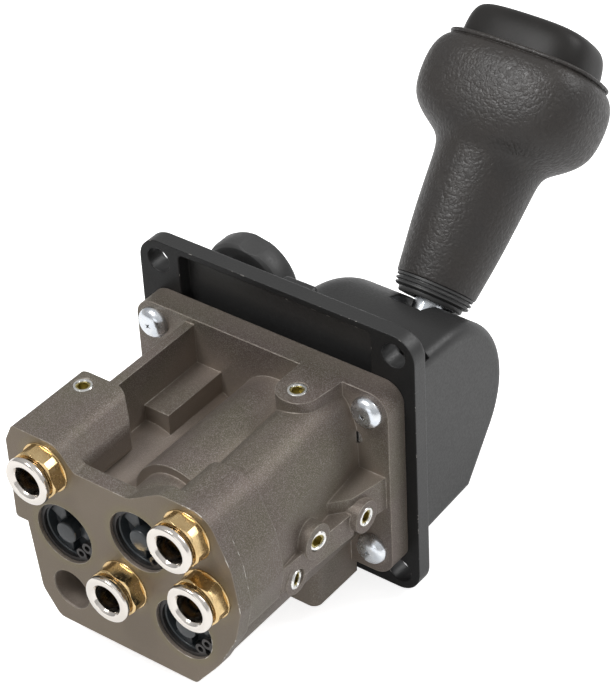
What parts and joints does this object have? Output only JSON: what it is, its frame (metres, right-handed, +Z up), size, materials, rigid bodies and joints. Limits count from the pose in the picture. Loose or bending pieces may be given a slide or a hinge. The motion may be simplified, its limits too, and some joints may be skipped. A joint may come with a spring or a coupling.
{
  "type": "hydraulic pilot joystick valve",
  "caption": "Panel-mounted lever control valve: ported metal valve block with push-in fittings behind a black housing, swinging lever with moulded grip, and a pull knob.",
  "frame": {"origin": "centre of the panel face of the mounting plate, at the centre of its four-hole pattern", "axes": "+X across the plate, +Y out of the panel towards the operator, +Z up the plate"},
  "size_m": [0.0954, 0.1762, 0.1324],
  "materials": {
    "cast_body": "hard-anodised die casting, fine sand texture, machined port face",
    "black_housing": "black coated die casting, satin, light scuffs on the rim",
    "zinc_screws": "bright zinc plate",
    "passage_plug_steel": "zinc plated, yellow passivated socket",
    "plug_plastic": "moulded black polyamide",
    "black_spring_steel": "phosphated spring steel",
    "seal_rubber": "black nitrile",
    "fitting_brass": "turned brass",
    "nickel_plate": "nickel plated brass",
    "bracket_steel": "zinc plated pressed steel",
    "pin_steel": "ground steel",
    "spring_steel": "spring wire",
    "hub_steel": "sintered steel",
    "bush_bronze": "sintered bronze",
    "shield_plastic": "black acetal",
    "shaft_steel": "bright zinc plated rod",
    "ring_plastic": "moulded black polyamide",
    "insert_plastic": "glass-filled polyamide",
    "grip_leather": "soft-touch moulding with leather grain",
    "cap_plastic": "satin moulded cap",
    "knob_plastic": "satin moulded knob",
    "spool_alloy": "hard anodised, ground"
  },
  "bodies": {
    "valve": {"valve_body": "cast_body", "operator_housing": "black_housing", "body_screws": "zinc_screws", "passage_plugs": "passage_plug_steel", "pto_bore_plug": "plug_plastic", "pto_bore_circlip": "black_spring_steel", "pto_plug_seal": "seal_rubber", "pilot_bore_plug": "plug_plastic", "pilot_bore_circlip": "black_spring_steel", "pilot_plug_seal": "seal_rubber", "tip_bore_plug": "plug_plastic", "tip_bore_circlip": "black_spring_steel", "tip_plug_seal": "seal_rubber", "supply_fitting_body": "fitting_brass", "supply_tube_seal": "seal_rubber", "raise_fitting_body": "fitting_brass", "raise_tube_seal": "seal_rubber", "lower_fitting_body": "fitting_brass", "lower_tube_seal": "seal_rubber", "pto_fitting_body": "fitting_brass", "pto_tube_seal": "seal_rubber", "lever_bracket": "bracket_steel", "bracket_screws": "zinc_screws", "pivot_pin": "pin_steel", "pivot_clips": "black_spring_steel", "return_spring": "spring_steel"},
    "lever": {"lever_hub": "hub_steel", "left_hub_bush": "bush_bronze", "right_hub_bush": "bush_bronze", "pilot_cam": "hub_steel", "rocker_arm": "hub_steel", "dust_shield": "shield_plastic", "lever_shaft": "shaft_steel", "lever_lock_nut": "zinc_screws", "grip_ring": "ring_plastic", "grip_insert": "insert_plastic", "grip": "grip_leather", "grip_cap": "cap_plastic"},
    "tip_spool_body": {"tip_spool": "spool_alloy"},
    "pilot_plunger_body": {"pilot_plunger": "spool_alloy"},
    "pto_control": {"pto_knob": "knob_plastic", "pto_stem": "pin_steel", "pto_link": "bracket_steel", "pto_spool": "spool_alloy"},
    "supply_collar": {"supply_release_collar": "nickel_plate"},
    "raise_collar": {"raise_release_collar": "nickel_plate"},
    "lower_collar": {"lower_release_collar": "nickel_plate"},
    "pto_collar": {"pto_release_collar": "nickel_plate"}
  },
  "joints": [
    {"name": "lever_swing", "type": "hinge", "parent": "valve", "child": "lever", "pos_m": [0.0242, 0.017, 0.0062], "axis": [1, 0, 0], "range_deg": [-15, 15], "stiffness_Nm_per_rad": 2},
    {"name": "tip_spool_slide", "type": "slide", "parent": "valve", "child": "tip_spool_body", "axis": [0, 1, 0], "range_m": [-0.0063, 0.0063]},
    {"name": "pilot_plunger_slide", "type": "slide", "parent": "valve", "child": "pilot_plunger_body", "axis": [0, -1, 0], "range_m": [-0.0008, 0.0008]},
    {"name": "pto_pull", "type": "slide", "parent": "valve", "child": "pto_control", "axis": [0, 1, 0], "range_m": [0, 0.002]},
    {"name": "supply_collar_press", "type": "slide", "parent": "valve", "child": "supply_collar", "axis": [0, 1, 0], "range_m": [0, 0.0006], "stiffness_N_per_m": 300},
    {"name": "raise_collar_press", "type": "slide", "parent": "valve", "child": "raise_collar", "axis": [0, 1, 0], "range_m": [0, 0.0006], "stiffness_N_per_m": 300},
    {"name": "lower_collar_press", "type": "slide", "parent": "valve", "child": "lower_collar", "axis": [0, 1, 0], "range_m": [0, 0.0006], "stiffness_N_per_m": 300},
    {"name": "pto_collar_press", "type": "slide", "parent": "valve", "child": "pto_collar", "axis": [0, 1, 0], "range_m": [0, 0.0006], "stiffness_N_per_m": 300}
  ],
  "couplings": [
    {"joint": "tip_spool_slide", "follows": "lever_swing", "m_per_rad": 0.0231},
    {"joint": "pilot_plunger_slide", "follows": "lever_swing", "m_per_rad": 0.003}
  ]
}
